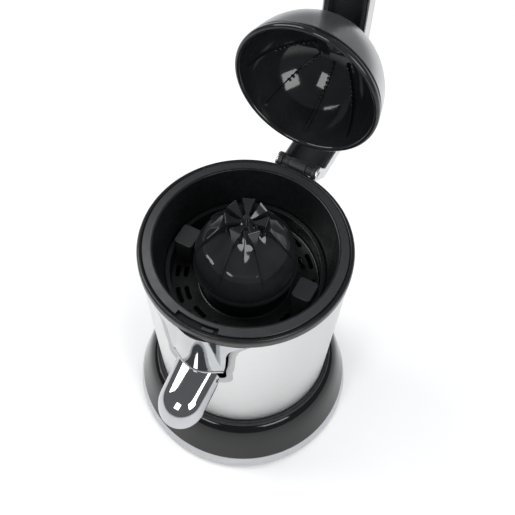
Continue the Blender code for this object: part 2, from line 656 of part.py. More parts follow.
def dome_rib(angle):
    """A thin radial rib that stands 2 mm off the dome's inside."""
    wall = dome_curve(DOME_R + 0.0012, DOME_H + 0.0012, 10, 72, 4)
    edge = dome_curve(DOME_R - 0.0018, DOME_H - 0.0018, 72, 10, 4)
    rib = prism([(-r, z) for r, z in wall + edge], "X", -0.0008, 0.0008)
    bmesh.ops.rotate(rib, verts=rib.verts, cent=(0, 0, 0), matrix=Matrix.Rotation(math.radians(angle), 3, "Z"))
    return rib


# ---------------------------------------------------------------- assembly


def empty(name, location):
    obj = bpy.data.objects.new(name, None)
    obj.location = location
    bpy.context.scene.collection.objects.link(obj)
    return obj


def make_looks():
    return {
        "black": material("black_plastic", (0.018, 0.019, 0.020), 0.45),
        "gloss_black": material("gloss_black_plastic", (0.010, 0.011, 0.012), 0.12),
        "rubber": material("black_rubber", (0.030, 0.031, 0.033), 0.70),
        "steel": material("satin_steel", (0.80, 0.80, 0.81), 0.30, 1.0),
        "steel_plain": material("plain_steel", (0.62, 0.62, 0.63), 0.25, 1.0),
        "chrome": material("chrome", (0.86, 0.87, 0.88), 0.05, 1.0),
        "grey_trim": material("grey_trim", (0.42, 0.43, 0.45), 0.35),
        "zinc": material("zinc_plate", (0.55, 0.56, 0.57), 0.40, 1.0),
        "brass": material("brass", (0.72, 0.52, 0.22), 0.30, 1.0),
        "copper": material("copper_winding", (0.62, 0.27, 0.13), 0.35, 1.0),
        "nylon": material("nylon", (0.82, 0.80, 0.74), 0.50),
    }


def main():
    clear_scene()
    looks = make_looks()
    lever_pivot, spout_pivot = empty("lever_pivot", HINGE), empty("spout_pivot", SPOUT_PIVOT)
    base(looks)
    base_skirt(looks)
    body_gasket(looks)
    steel_shell(looks)
    inner_housing(looks)
    chassis(looks)
    motor(looks)
    gear_train(looks)
    shaft(looks)
    press_spring(looks)
    micro_switch(looks)
    rim_ring(looks)
    juice_bowl(looks)
    spout_panel(looks)
    spout(looks, spout_pivot)
    strainer(looks)
    cone(looks)
    hinge(looks)
    lever_arm(looks, lever_pivot)
    dome(looks, lever_pivot)
    lever_pivot.rotation_euler = (-OPEN_ANGLE, 0.0, 0.0)


main()
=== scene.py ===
"""Looks of the citrus press juicer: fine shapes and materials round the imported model, in metres."""

import json
import math

import bmesh
import bpy
from mathutils import Matrix, Vector


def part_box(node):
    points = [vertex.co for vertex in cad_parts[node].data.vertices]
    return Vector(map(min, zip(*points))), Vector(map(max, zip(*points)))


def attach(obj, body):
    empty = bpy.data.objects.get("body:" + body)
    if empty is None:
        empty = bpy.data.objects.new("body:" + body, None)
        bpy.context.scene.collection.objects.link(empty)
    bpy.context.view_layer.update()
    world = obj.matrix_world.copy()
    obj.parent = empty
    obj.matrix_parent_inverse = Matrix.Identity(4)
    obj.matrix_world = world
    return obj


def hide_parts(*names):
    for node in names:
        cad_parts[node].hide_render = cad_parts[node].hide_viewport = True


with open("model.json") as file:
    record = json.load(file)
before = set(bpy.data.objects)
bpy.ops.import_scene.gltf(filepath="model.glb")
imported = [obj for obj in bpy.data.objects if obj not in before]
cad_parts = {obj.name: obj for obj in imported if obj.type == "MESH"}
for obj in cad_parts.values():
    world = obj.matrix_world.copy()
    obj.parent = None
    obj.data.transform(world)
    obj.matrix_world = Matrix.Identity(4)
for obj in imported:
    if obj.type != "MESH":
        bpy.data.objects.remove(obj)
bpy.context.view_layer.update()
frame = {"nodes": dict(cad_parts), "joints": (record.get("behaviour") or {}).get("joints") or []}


def low(node):
    return Vector(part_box(node)[0])


def high(node):
    return Vector(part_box(node)[1])


# Driving sizes, read from the frame
RIM_Z, RIM_R = high("rim_ring").z, high("rim_ring").x
SHELL_LOW, SHELL_HIGH = low("steel_shell").z, high("steel_shell").z
SHELL_TOP_R = high("steel_shell").x
SHELL_TAPER = 0.0090
SHELL_LOW_R = SHELL_TOP_R - SHELL_TAPER
SKIRT_LOW, SKIRT_HIGH = low("base_skirt").z, high("base_skirt").z
SKIRT_R = high("base_skirt").x
PANEL_LOW, PANEL_HIGH = low("spout_panel").z, high("spout_panel").z
PANEL_HALF = high("spout_panel").x
BASKET_HIGH = high("strainer").z
CONE_LOW = low("cone").z
PIN = (low("hinge_pin") + high("hinge_pin")) / 2
SPOUT_PIN_Z = (low("spout_pin_left").z + high("spout_pin_left").z) / 2
SPOUT_PIN_Y = (low("spout_pin_left").y + high("spout_pin_left").y) / 2

JOINTS = {joint["name"]: joint for joint in frame["joints"]}
OPEN_ANGLE = math.radians(-JOINTS["lever_hinge"]["range_deg"][0])

ROUND = 160  # columns of a large turned piece
GAP = 0.0003  # clearance between two pieces that lie against each other
PIN_BORE_R = 0.0028
CORD_Z = 0.024


# ---------------------------------------------------------------- points and outlines


def arc(centre, radius, start, end, steps):
    """Points along an arc, in degrees counter-clockwise from the first axis."""
    turn = [math.radians(start + (end - start) * i / steps) for i in range(steps + 1)]
    return [(centre[0] + radius * math.cos(t), centre[1] + radius * math.sin(t)) for t in turn]


def polar(radius, degrees):
    """A point at an angle from the front (-Y), towards +X."""
    angle = math.radians(degrees)
    return radius * math.sin(angle), -radius * math.cos(angle)


def curve(points, per_span):
    """A smooth line through the points (Catmull-Rom), as points of the same length."""
    ends = [points[0]] + list(points) + [points[-1]]
    line = []
    for a, b, c, d in zip(ends, ends[1:], ends[2:], ends[3:]):
        for i in range(per_span):
            t = i / per_span
            weights = (
                (-t + 2 * t**2 - t**3) / 2, (2 - 5 * t**2 + 3 * t**3) / 2,
                (t + 4 * t**2 - 3 * t**3) / 2, (-(t**2) + t**3) / 2,
            )
            line.append(tuple(sum(w * p[k] for w, p in zip(weights, (a, b, c, d))) for k in range(len(a))))
    return line + [tuple(points[-1])]


def soften(points, radius, steps=3):
    """A closed outline with every corner rounded; a third value in a point is its own radius."""
    soft = []
    for before, here, after in zip(points[-1:] + points[:-1], points, points[1:] + points[:1]):
        corner = Vector(here[:2])
        size = here[2] if len(here) > 2 else radius
        to_before, to_after = Vector(before[:2]) - corner, Vector(after[:2]) - corner
        start = corner + to_before.normalized() * min(size, 0.45 * to_before.length)
        end = corner + to_after.normalized() * min(size, 0.45 * to_after.length)
        for i in range(steps + 1):
            t = i / steps
            soft.append(tuple(start * (1 - t) ** 2 + corner * 2 * t * (1 - t) + end * t**2))
    return soft


# ---------------------------------------------------------------- meshes


def skin(rows, wrap_rows=False, caps=False):
    """Faces over closed rows of points; caps closes the first and the last row."""
    bm = bmesh.new()
    grid = [[bm.verts.new(p) for p in row] for row in rows]
    row_pairs = list(zip(grid, grid[1:])) + ([(grid[-1], grid[0])] if wrap_rows else [])
    columns = len(grid[0])
    for a, b in row_pairs:
        for k in range(columns):
            m = (k + 1) % columns
            bm.faces.new((a[k], a[m], b[m], b[k]))
    if caps:
        bm.faces.new(grid[0])
        bm.faces.new(grid[-1])
    return settled(bm)


def settled(bm):
    bmesh.ops.remove_doubles(bm, verts=bm.verts, dist=1e-6)
    bmesh.ops.recalc_face_normals(bm, faces=bm.faces)
    return bm


def turned(points, columns=ROUND, centre=(0.0, 0.0)):
    """A closed (radius, height) outline turned about the vertical."""
    x, y = centre
    angles = [2 * math.pi * k / columns for k in range(columns)]
    rows = [[(x + r * math.cos(a), y + r * math.sin(a), z) for a in angles] for r, z in points]
    return skin(rows, wrap_rows=True)


def prism(outline, axis, near, far):
    """A flat outline pushed along an axis: (y, z) along X, (x, z) along Y or (x, y) along Z."""
    place = {
        "X": lambda a, b, c: (c, a, b),
        "Y": lambda a, b, c: (a, c, b),
        "Z": lambda a, b, c: (a, b, c),
    }[axis]
    rows = [[place(a, b, c) for a, b in outline] for c in (near, far)]
    return skin(rows, caps=True)


def cross_rod(radius, near, far, y, z):
    """A round rod along X with broken edges."""
    columns, edge = 40, 0.0004
    angles = [2 * math.pi * k / columns for k in range(columns)]
    stations = ((near, radius - edge), (near + edge, radius), (far - edge, radius), (far, radius - edge))
    rows = [[(x, y + r * math.cos(a), z + r * math.sin(a)) for a in angles] for x, r in stations]
    return skin(rows, caps=True)


def pin_bore():
    """The cutter for the hinge pin's bore."""
    return cross_rod(PIN_BORE_R, -0.030, 0.030, PIN.y, PIN.z)


def merged(*parts):
    """Several closed shapes in one bmesh."""
    whole = bmesh.new()
    for part in parts:
        mesh = bpy.data.meshes.new("piece")
        part.to_mesh(mesh)
        part.free()
        whole.from_mesh(mesh)
        bpy.data.meshes.remove(mesh)
    return whole


def sheet(outer, inner):
    """A closed plate between two grids of points of the same size."""
    bm = bmesh.new()
    grids = [[[bm.verts.new(p) for p in row] for row in grid] for grid in (outer, inner)]
    rows, columns = len(outer), len(outer[0])
    for grid in grids:
        for i in range(rows - 1):
            for j in range(columns - 1):
                bm.faces.new((grid[i][j], grid[i][j + 1], grid[i + 1][j + 1], grid[i + 1][j]))
    border = [(0, j) for j in range(columns)] + [(i, columns - 1) for i in range(1, rows)]
    border += [(rows - 1, j) for j in range(columns - 2, -1, -1)] + [(i, 0) for i in range(rows - 2, 0, -1)]
    for (i, j), (k, m) in zip(border, border[1:] + border[:1]):
        bm.faces.new((grids[0][i][j], grids[0][k][m], grids[1][k][m], grids[1][i][j]))
    return settled(bm)


def opened(bm):
    """Turns a shape built for the closed lever back to where the lever rests."""
    bmesh.ops.rotate(bm, verts=bm.verts, cent=PIN, matrix=Matrix.Rotation(-OPEN_ANGLE, 3, "X"))
    return bm


# ---------------------------------------------------------------- pieces


def piece(name, bm, look, body, nodes=(), cutters=(), bevel=0.0, sharp=35):
    """A finished piece: its mesh cut, its edges broken, it hung on its body's empty, and the frame's parts it stands
    for hidden.
    """
    mesh = bpy.data.meshes.new(name)
    bm.to_mesh(mesh)
    bm.free()
    obj = bpy.data.objects.new(name, mesh)
    bpy.context.scene.collection.objects.link(obj)
    for cutter in cutters:
        cut(obj, cutter)
    if bevel:
        rounding = obj.modifiers.new("Broken edges", "BEVEL")
        rounding.width, rounding.segments = bevel, 3
        rounding.limit_method, rounding.angle_limit = "ANGLE", math.radians(28)
        rounding.use_clamp_overlap = True
        apply_modifiers(obj)
    mesh = obj.data
    mesh.materials.clear()
    mesh.materials.append(look)
    mesh.shade_smooth()
    mesh.set_sharp_from_angle(angle=math.radians(sharp))
    weighted = obj.modifiers.new("Flat faces stay flat", "WEIGHTED_NORMAL")
    weighted.keep_sharp = True
    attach(obj, body)
    if nodes:
        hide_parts(*nodes)
    return obj


def apply_modifiers(obj):
    graph = bpy.context.evaluated_depsgraph_get()
    graph.update()
    mesh = bpy.data.meshes.new_from_object(obj.evaluated_get(graph))
    obj.modifiers.clear()
    obj.data = mesh


def cut(obj, bm):
    mesh = bpy.data.meshes.new("cutter")
    bm.to_mesh(mesh)
    bm.free()
    cutter = bpy.data.objects.new("cutter", mesh)
    bpy.context.scene.collection.objects.link(cutter)
    modifier = obj.modifiers.new("Cut", "BOOLEAN")
    modifier.operation, modifier.solver, modifier.object = "DIFFERENCE", "EXACT", cutter
    apply_modifiers(obj)
    bpy.data.objects.remove(cutter, do_unlink=True)


# ---------------------------------------------------------------- materials


NOISE_LOW, NOISE_HIGH = 0.3, 0.7  # most of a noise texture lies between these


class Look:
    """A Principled material whose colour, roughness and relief come from procedural textures."""

    def __init__(self, name, roughness, metallic=0.0, specular=0.5, coat=0.0):
        self.material = bpy.data.materials.new(name)
        self.material.use_nodes = True
        self.nodes = self.material.node_tree.nodes
        self.links = self.material.node_tree.links
        self.shader = self.nodes["Principled BSDF"]
        self.place = self.nodes.new("ShaderNodeTexCoord").outputs["Object"]
        self.shader.inputs["Roughness"].default_value = roughness
        self.shader.inputs["Metallic"].default_value = metallic
        self.shader.inputs["Specular IOR Level"].default_value = specular
        self.shader.inputs["Coat Weight"].default_value = coat
        self.shader.inputs["Coat Roughness"].default_value = 0.05
        self.relief = None

    def noise(self, size, stretch=(1, 1, 1), detail=3.0):
        """Noise whose features are about size metres, drawn out along an axis whose stretch is small."""
        mapping = self.nodes.new("ShaderNodeMapping")
        mapping.inputs["Scale"].default_value = stretch
        texture = self.nodes.new("ShaderNodeTexNoise")
        texture.inputs["Scale"].default_value = 1 / size
        texture.inputs["Detail"].default_value = detail
        self.links.new(self.place, mapping.inputs["Vector"])
        self.links.new(mapping.outputs["Vector"], texture.inputs["Vector"])
        return texture.outputs["Fac"]

    def spread(self, value, least, most):
        """The value mapped to the range from least to most."""
        node = self.nodes.new("ShaderNodeMapRange")
        node.inputs["From Min"].default_value, node.inputs["From Max"].default_value = NOISE_LOW, NOISE_HIGH
        node.inputs["To Min"].default_value, node.inputs["To Max"].default_value = least, most
        self.links.new(value, node.inputs["Value"])
        return node.outputs["Result"]

    def colour(self, dark, light, value):
        ramp = self.nodes.new("ShaderNodeValToRGB")
        for stop, position, shade in zip(ramp.color_ramp.elements, (NOISE_LOW, NOISE_HIGH), (dark, light)):
            stop.position, stop.color = position, (*shade, 1)
        self.links.new(value, ramp.inputs["Fac"])
        self.links.new(ramp.outputs["Color"], self.shader.inputs["Base Color"])
        return self

    def rough(self, least, most, value):
        self.links.new(self.spread(value, least, most), self.shader.inputs["Roughness"])
        return self

    def bump(self, height, depth):
        """Relief of the given depth in metres; a second call adds to the first."""
        node = self.nodes.new("ShaderNodeBump")
        node.inputs["Distance"].default_value = depth
        node.inputs["Strength"].default_value = 1.0
        self.links.new(height, node.inputs["Height"])
        if self.relief:
            self.links.new(self.relief, node.inputs["Normal"])
        self.relief = node.outputs["Normal"]
        self.links.new(self.relief, self.shader.inputs["Normal"])
        return self


def gloss_black():
    """Polished black plastic: a trace of flow waviness, and faint wiping marks in the shine."""
    look = Look("gloss_black", 0.06, specular=0.42)
    look.colour((0.0095, 0.0102, 0.0112), (0.0150, 0.0158, 0.0170), look.noise(0.018))
    look.rough(0.045, 0.10, look.noise(0.012, (1, 1, 2.5), 5))
    look.bump(look.noise(0.006, detail=1), 0.00002)
    return look.material


def deep_black():
    """The polished foot, darker than the other gloss pieces."""
    look = Look("deep_black", 0.08, specular=0.36)
    look.colour((0.0035, 0.0038, 0.0042), (0.0060, 0.0063, 0.0068), look.noise(0.020))
    look.rough(0.06, 0.12, look.noise(0.014, (1, 1, 2.5), 5))
    look.bump(look.noise(0.008, detail=1), 0.00001)
    return look.material


def satin_black():
    """Black plastic with the fine grain of an eroded mould."""
    look = Look("satin_black", 0.42, specular=0.45)
    look.colour((0.015, 0.016, 0.017), (0.025, 0.026, 0.0275), look.noise(0.0009))
    look.rough(0.36, 0.50, look.noise(0.009, detail=4))
    look.bump(look.noise(0.00045, detail=2), 0.00005)
    return look.material


def smooth_black():
    """Smoother black plastic of the bowl and the strainer, half way to polished."""
    look = Look("smooth_black", 0.30, specular=0.42)
    look.colour((0.005, 0.0055, 0.006), (0.0085, 0.009, 0.0095), look.noise(0.004))
    look.rough(0.25, 0.36, look.noise(0.010, detail=4))
    look.bump(look.noise(0.0012, detail=2), 0.00002)
    return look.material


def rubber():
    look = Look("rubber", 0.62, specular=0.35)
    look.colour((0.012, 0.012, 0.013), (0.024, 0.024, 0.026), look.noise(0.003))
    look.rough(0.52, 0.70, look.noise(0.004))
    look.bump(look.noise(0.0004), 0.00004)
    return look.material


def satin_steel(name="satin_steel", stretch=(1, 1, 60), light=0.66):
    """Satin stainless steel with a fine grain drawn out along one direction."""
    look = Look(name, 0.34, metallic=1.0)
    grain = look.noise(0.010, stretch, 3)
    look.colour((light - 0.04,) * 3, (light + 0.02, light + 0.02, light + 0.025), grain)
    look.rough(0.30, 0.40, look.noise(0.0012, detail=2))
    look.bump(grain, 0.000003)
    look.bump(look.noise(0.0009, detail=2), 0.00001)
    return look.material


def bare_metal(name, colour, roughness):
    """Turned or plated metal of the inner pieces."""
    look = Look(name, roughness, metallic=1.0)
    look.colour(tuple(0.85 * c for c in colour), colour, look.noise(0.002))
    look.rough(roughness - 0.06, roughness + 0.10, look.noise(0.004))
    look.bump(look.noise(0.0006), 0.00002)
    return look.material


def chrome():
    """Mirror chrome with the slightest haze and waviness."""
    look = Look("chrome", 0.04, metallic=1.0)
    look.colour((0.43, 0.44, 0.455), (0.48, 0.49, 0.505), look.noise(0.02))
    look.rough(0.02, 0.06, look.noise(0.008, detail=5))
    look.bump(look.noise(0.012, detail=1), 0.00001)
    return look.material


def silver_trim():
    """Pale grey lacquer with a fine metal flake."""
    look = Look("silver_trim", 0.35, metallic=0.35, coat=0.3)
    look.colour((0.42, 0.43, 0.45), (0.55, 0.56, 0.58), look.noise(0.0006))
    look.rough(0.28, 0.40, look.noise(0.006))
    look.bump(look.noise(0.0008), 0.00002)
    return look.material


def moulded(name, colour):
    """Plain moulded plastic of the inner pieces."""
    look = Look(name, 0.5)
    look.colour(tuple(0.8 * c for c in colour), colour, look.noise(0.003))
    look.rough(0.42, 0.60, look.noise(0.005))
    look.bump(look.noise(0.0008), 0.00004)
    return look.material


def winding():
    """Enamelled copper wire, as fine rings round the motor."""
    look = Look("winding", 0.35, metallic=1.0)
    turns = look.noise(0.004, (0.2, 0.2, 12), 2)
    look.colour((0.35, 0.12, 0.05), (0.66, 0.30, 0.15), turns)
    look.rough(0.28, 0.45, turns)
    look.bump(turns, 0.0003)
    return look.material


LOOKS = {
    "deep_black": deep_black(),
    "gloss_black": gloss_black(),
    "satin_black": satin_black(),
    "smooth_black": smooth_black(),
    "inner_black": moulded("inner_black", (0.018, 0.019, 0.020)),
    "rubber": rubber(),
    "steel": satin_steel(),
    # painted shade: the turned-in edge is the shell's own steel, its colour darkened from 0.66 to 0.42 to paint the
    # shade where it turns into the gap
    "shaded_steel": satin_steel("turned_in_edge_painted_shade", (1, 1, 20), 0.42),
    "plain_steel": bare_metal("plain_steel", (0.62, 0.62, 0.63), 0.25),
    "zinc": bare_metal("zinc", (0.55, 0.56, 0.57), 0.40),
    "nylon": moulded("nylon", (0.82, 0.80, 0.74)),
    "brass": bare_metal("brass", (0.72, 0.52, 0.22), 0.30),
    "copper": winding(),
    "chrome": chrome(),
    "grey_trim": silver_trim(),
}


# ---------------------------------------------------------------- base


# (inset from the widest radius, drop from the top edge) down the flared skirt
SKIRT_LINE = (
    (0.0140, 0.0), (0.0128, 0.0008), (0.0104, 0.0034), (0.0080, 0.0078), (0.0054, 0.0155), (0.0026, 0.0260),
)


def base():
    top, bottom = SKIRT_HIGH - 0.0004, SKIRT_LOW + 0.0030
    wall, inner_r = 0.0025, 0.0660
    outer = curve([(SKIRT_R - inset, top - drop) for inset, drop in SKIRT_LINE] + [(SKIRT_R, bottom)], 5)
    inner = [(r - wall, z) for r, z in reversed(outer)]
    outline = [(inner_r, SKIRT_HIGH), (SKIRT_R - 0.0148, SKIRT_HIGH)] + outer + inner + [(inner_r, top - 0.002)]
    hole = prism(arc((0.0, CORD_Z), 0.0063, 0, 360, 40)[:-1], "Y", 0.060, 0.100)
    piece("skirt", turned(outline), LOOKS["deep_black"], "base", ["base_skirt"], [hole])

    foot_r, ring_r = 0.0835, high("base_ring").x
    trim = [
        (foot_r, 0.0139), (SKIRT_R - 0.0002, 0.0139, 0.0006), (ring_r - 0.0006, 0.0095, 0.002),
        (ring_r, 0.0050, 0.001), (ring_r - 0.0010, 0.0035), (foot_r, 0.0035),
    ]
    piece("base_trim", turned(soften(trim, 0.0005)), LOOKS["grey_trim"], "base", ["base_ring"])

    gasket_low, gasket_high = low("body_gasket").z, high("body_gasket").z
    band = [
        (0.0680, gasket_high - 0.0013), (0.0706, gasket_high - 0.0013), (0.0709, gasket_high),
        (0.0722, gasket_high, 0.001), (0.0729, gasket_high - 0.0012), (0.0733, gasket_high - 0.0006),
        (0.0744, gasket_high - 0.0019, 0.0012), (0.0745, gasket_low), (0.0680, gasket_low),
    ]
    piece("gasket", turned(soften(band, 0.0003)), LOOKS["rubber"], "base", ["body_gasket"])

    pad = soften([(0.0002, 0.0), (0.0078, 0.0, 0.001), (0.0080, 0.0037), (0.0002, 0.0037)], 0.0003)
    for i in range(1, 5):
        middle = (low(f"foot_{i}") + high(f"foot_{i}")) / 2
        piece(f"rubber_foot_{i}", turned(pad, 48, middle.xy), LOOKS["rubber"], "base", [f"foot_{i}"])

    gland = [(0.0032, 0.0760), (0.0060, 0.0760), (0.0060, 0.0905, 0.0015), (0.0032, 0.0905, 0.0006)]
    bush = turned(soften(gland, 0.0004), 48)
    bmesh.ops.rotate(bush, verts=bush.verts, cent=(0, 0, 0), matrix=Matrix.Rotation(math.radians(-90), 3, "X"))
    bmesh.ops.translate(bush, verts=bush.verts, vec=(0, 0, CORD_Z))
    piece("cord_outlet", bush, LOOKS["rubber"], "base", ["cord_gland"])


# ---------------------------------------------------------------- steel body


def shell_radius(z):
    return SHELL_LOW_R + (SHELL_TOP_R - SHELL_LOW_R) * (z - SHELL_LOW) / (SHELL_HIGH - SHELL_LOW)


# Half width of the chrome panel at each height, from the spout up to the rim
PANEL_LINE = curve(
    [(0.0210, PANEL_LOW), (0.0223, PANEL_LOW + 0.0070), (0.0233, PANEL_LOW + 0.0190),
     (0.0240, PANEL_LOW + 0.0290), (0.0262, PANEL_LOW + 0.0368), (0.0306, PANEL_LOW + 0.0425),
     (PANEL_HALF, PANEL_HIGH)], 6
)
SEAM = 0.0012  # dark gap round the panel
FLANGE = 0.0052  # turned-in edge of the shell round that gap
OPENING_LOW = 0.1380
FLARE_LOW, FLARE_RISE = 0.190, 0.0136  # where the panel flares, and over what height the margin narrows


def opening(margin):
    """The front opening, a margin outside the panel: (x, z) from the top left, round the bottom."""
    low_z = OPENING_LOW + SEAM - margin
    corner = 0.0060 + margin
    side = []
    for half_width, z in PANEL_LINE:
        narrowing = 0.45 * max(0.0, (z - FLARE_LOW) / FLARE_RISE)
        side.append((half_width + margin * (1 - narrowing), z))
    turn = arc((PANEL_LINE[0][0] + margin - corner, low_z + corner), corner, -90, 0, 10)
    bottom = [(turn[0][0] * i / 8, low_z) for i in range(9)][:-1]
    right = bottom + turn + side
    return [(-x, z) for x, z in reversed(right[1:])] + right


def opening_cutter(margin):
    top = RIM_Z - 0.0035
    line = opening(margin)
    return prism([(line[0][0], top)] + line + [(line[-1][0], top)], "Y", -0.100, -0.050)


def shell_point(x, z, out):
    radius = shell_radius(z) + out
    return x, -math.sqrt(radius**2 - x**2), z


def steel_body():
    wall, roll = 0.0010, 0.0006
    outline = [
        (SHELL_LOW_R, SHELL_LOW, roll), (SHELL_TOP_R, SHELL_HIGH), (SHELL_TOP_R - wall, SHELL_HIGH),
        (SHELL_LOW_R - wall, SHELL_LOW),
    ]
    piece(
        "body_shell", turned(soften(outline, 0.0003), 240), LOOKS["steel"], "base", ["steel_shell"],
        [opening_cutter(SEAM + FLANGE)],
    )
    steps, outer, inner = 6, [], []
    for i in range(steps + 1):
        share = i / steps
        line = opening(SEAM + FLANGE * (1 - share) - 0.00005)
        sink = -0.0013 * share**1.6
        outer.append([shell_point(x, z, sink) for x, z in line])
        inner.append([shell_point(x, z, sink - 0.0007) for x, z in line])
    # the flange's darker steel colour is painted shade on the shell's own steel
    piece("opening_flange", sheet(outer, inner), LOOKS["shaded_steel"], "base")

    top, bottom, deck, deck_r, near, far = 0.2035, 0.130, 0.1355, 0.0700, 0.0020, 0.0036
    liner = [
        (shell_radius(top) - near, top), (shell_radius(bottom) - near, bottom), (deck_r, bottom),
        (deck_r, deck), (shell_radius(deck) - far, deck), (shell_radius(top) - far, top),
    ]
    piece(
        "body_liner", turned(soften(liner, 0.0003)), LOOKS["inner_black"], "base", (),
        [opening_cutter(SEAM + 0.001)],
    )


# ---------------------------------------------------------------- rim, bowl, strainer


def sector(inner, outer, start, end, bottom, top, steps=16):
    """An annular block between two angles from the front."""
    angles = [start + (end - start) * i / steps for i in range(steps + 1)]
    outline = [polar(inner, a) for a in angles] + [polar(outer, a) for a in reversed(angles)]
    return prism(outline, "Z", bottom, top)


NOTCH_HALF = 13  # degrees either side of the front


def bowl():
    rim = [
        (0.0765, RIM_Z - 0.0004, 0.0004), (0.0774, RIM_Z, 0.0006), (0.0789, RIM_Z, 0.0012),
        (RIM_R, RIM_Z - 0.0018, 0.0012), (RIM_R, 0.2046, 0.0005), (0.0794, 0.2040), (0.0722, 0.2040),
        (0.0722, 0.2097), (0.0765, 0.2097),
    ]
    piece("rim_band", turned(soften(rim, 0.0003)), LOOKS["smooth_black"], "bowl", ["rim_ring"])

    mouth = 0.0679
    outline = [
        (0.0761, 0.2119, 0.0004), (0.0753, 0.2124, 0.0003), (mouth + 0.0012, 0.2136, 0.0006),
        (mouth, 0.2133, 0.0007), (mouth - 0.0004, 0.2110, 0.0008), (0.0614, 0.1822, 0.0015), (0.0614, 0.1788, 0.0004),
        (0.0594, 0.1788), (0.0592, 0.1480, 0.003), (0.0550, 0.1434, 0.002), (0.0132, 0.1434, 0.002),
        (0.0132, 0.1780), (0.0062, 0.1780), (0.0062, 0.1760), (0.0110, 0.1760), (0.0110, 0.1414),
        (0.0560, 0.1414), (0.0612, 0.1470), (0.0634, 0.1800), (0.0696, 0.2100), (0.0761, 0.2100),
    ]
    duct_half, duct_low, duct_high = 0.0085, 0.1436, 0.1480
    duct_plan = [(-duct_half, -0.0800), (duct_half, -0.0800), (duct_half, -0.0500), (-duct_half, -0.0500)]
    duct = prism(duct_plan, "Z", duct_low, duct_high)
    notch = sector(0.0722, 0.0790, -NOTCH_HALF, NOTCH_HALF, 0.2092, 0.2160)
    piece(
        "bowl_body", turned(soften(outline, 0.0005)), LOOKS["smooth_black"], "bowl", ["juice_bowl"],
        [duct, notch],
    )
    flange = [(0.0757, 0.2124), (mouth + 0.0016, 0.2137), (mouth + 0.0016, 0.2133), (0.0757, 0.2119)]
    ring = turned(soften(flange, 0.00015), 240)
    piece(
        "bowl_flange_face", ring, LOOKS["satin_black"], "bowl", (),
        [sector(0.0720, 0.0800, -NOTCH_HALF, NOTCH_HALF, 0.2090, 0.2170)],
    )
    chute = [(-0.0100, 0.1416), (0.0100, 0.1416), (0.0100, 0.1494), (-0.0100, 0.1494)]
    inside = [(-duct_half, duct_low), (duct_half, duct_low), (duct_half, duct_high), (-duct_half, duct_high)]
    piece(
        "juice_chute", prism(chute, "Y", -0.0785, -0.0605), LOOKS["smooth_black"], "bowl", (),
        [prism(inside, "Y", -0.0800, -0.0590)],
    )
    key = sector(0.0733, 0.0757, 3.4, 10.2, 0.2095, 0.2113, 8)
    piece("rim_key", key, LOOKS["satin_black"], "bowl", ["bowl_key"], bevel=0.0003)


SLOT_ROWS = ((0.0439, 0.0475), (0.0504, 0.0540))
SLOT_CENTRES = ((0, 9), (21, 16), (45, 16), (69, 12))  # degrees from the front: centre and length


def slot_outline(inner, outer, centre, length):
    """A slot along an arc, with round ends."""
    middle, half = (inner + outer) / 2, (outer - inner) / 2
    reach = length / 2 - math.degrees(half / middle)
    angles = [centre - reach + 2 * reach * i / 6 for i in range(7)]
    outline = [polar(inner, a) for a in angles]
    outline += end_cap(middle, half, angles[-1], 1)
    outline += [polar(outer, a) for a in reversed(angles)]
    return outline + end_cap(middle, half, angles[0], -1)


def end_cap(middle, half, degrees, side):
    """The half circle at one end of a slot, from its inner to its outer edge, or back."""
    out, along = Vector(polar(1.0, degrees)), Vector(polar(1.0, degrees + 90 * side))
    centre = Vector(polar(middle, degrees))
    points = []
    for i in range(1, 6):
        t = math.pi * i / 6
        points.append(tuple(centre - out * half * math.cos(t) * side + along * half * math.sin(t)))
    return points


def basket():
    plate = 0.1656
    outline = [
        (0.0572, BASKET_HIGH - 0.0080, 0.0004), (0.0606, BASKET_HIGH - 0.0080, 0.0005), (0.0606, 0.1791),
        (0.0589, 0.1791), (0.0587, plate - 0.002), (0.0332, plate - 0.002), (0.0312, 0.1790), (0.0146, 0.1790),
        (0.0146, 0.1810), (0.0330, 0.1810, 0.0008), (0.0350, plate, 0.0015), (0.0570, plate, 0.0015),
    ]
    slots = merged(*[
        prism(slot_outline(*row, angle, length), "Z", plate - 0.004, plate + 0.002)
        for row in SLOT_ROWS
        for centre, length in SLOT_CENTRES
        for angle in sorted({centre, -centre, 180 - centre, centre - 180} if centre else {0, 180})
    ])
    piece(
        "strainer_basket", turned(soften(outline, 0.0004)), LOOKS["smooth_black"], "strainer",
        ["strainer"], [slots],
    )
    near, far, half = 0.0420, 0.0574, 0.0090
    corners = [(near, -half), (far, -half), (far, half), (near, half)]
    for side, name in ((-1, "grip_left"), (1, "grip_right")):
        shape = soften([(side * x, y) for x, y in corners], 0.0030, 6)
        grip = prism(shape, "Z", plate - 0.001, BASKET_HIGH)
        piece(name, grip, LOOKS["satin_black"], "strainer", bevel=0.0008)


# ---------------------------------------------------------------- cone


FINS = 7
FIN_TURN = -3.6  # degrees from the front to the first fin
# (radius, height over the base) up the cone's body where a fin stands on it
BODY_LINE = (
    (0.0372, 0.0), (0.0390, 0.0006), (0.0394, 0.0020), (0.0392, 0.0036), (0.0384, 0.0048),
    (0.0381, 0.0062), (0.0383, 0.0110), (0.0376, 0.0175), (0.0356, 0.0232), (0.0316, 0.0302),
    (0.0270, 0.0361), (0.0218, 0.0416), (0.0172, 0.0462), (0.0100, 0.0516), (0.0048, 0.0548),
)
SCOOP_START = 9  # the point of that line where the scoops begin
SCOOP_DEPTH = 0.0044
SCOOP_OUT, SCOOP_DOWN = 0.62, 0.78  # a scoop is sunk about square to the body there
# (radius, height over the base) of the hollow under the cone, and of the centre post on top
HOLLOW_LINE = (
    (0.0050, 0.0010), (0.0052, 0.0345), (0.0074, 0.0345), (0.0078, 0.0390), (0.0225, 0.0250), (0.0330, 0.0120),
    (0.0346, 0.0),
)
POST_LINE = ((0.0036, 0.0552), (0.0030, 0.0562), (0.0028, 0.0600), (0.0022, 0.0610), (0.0010, 0.0613))
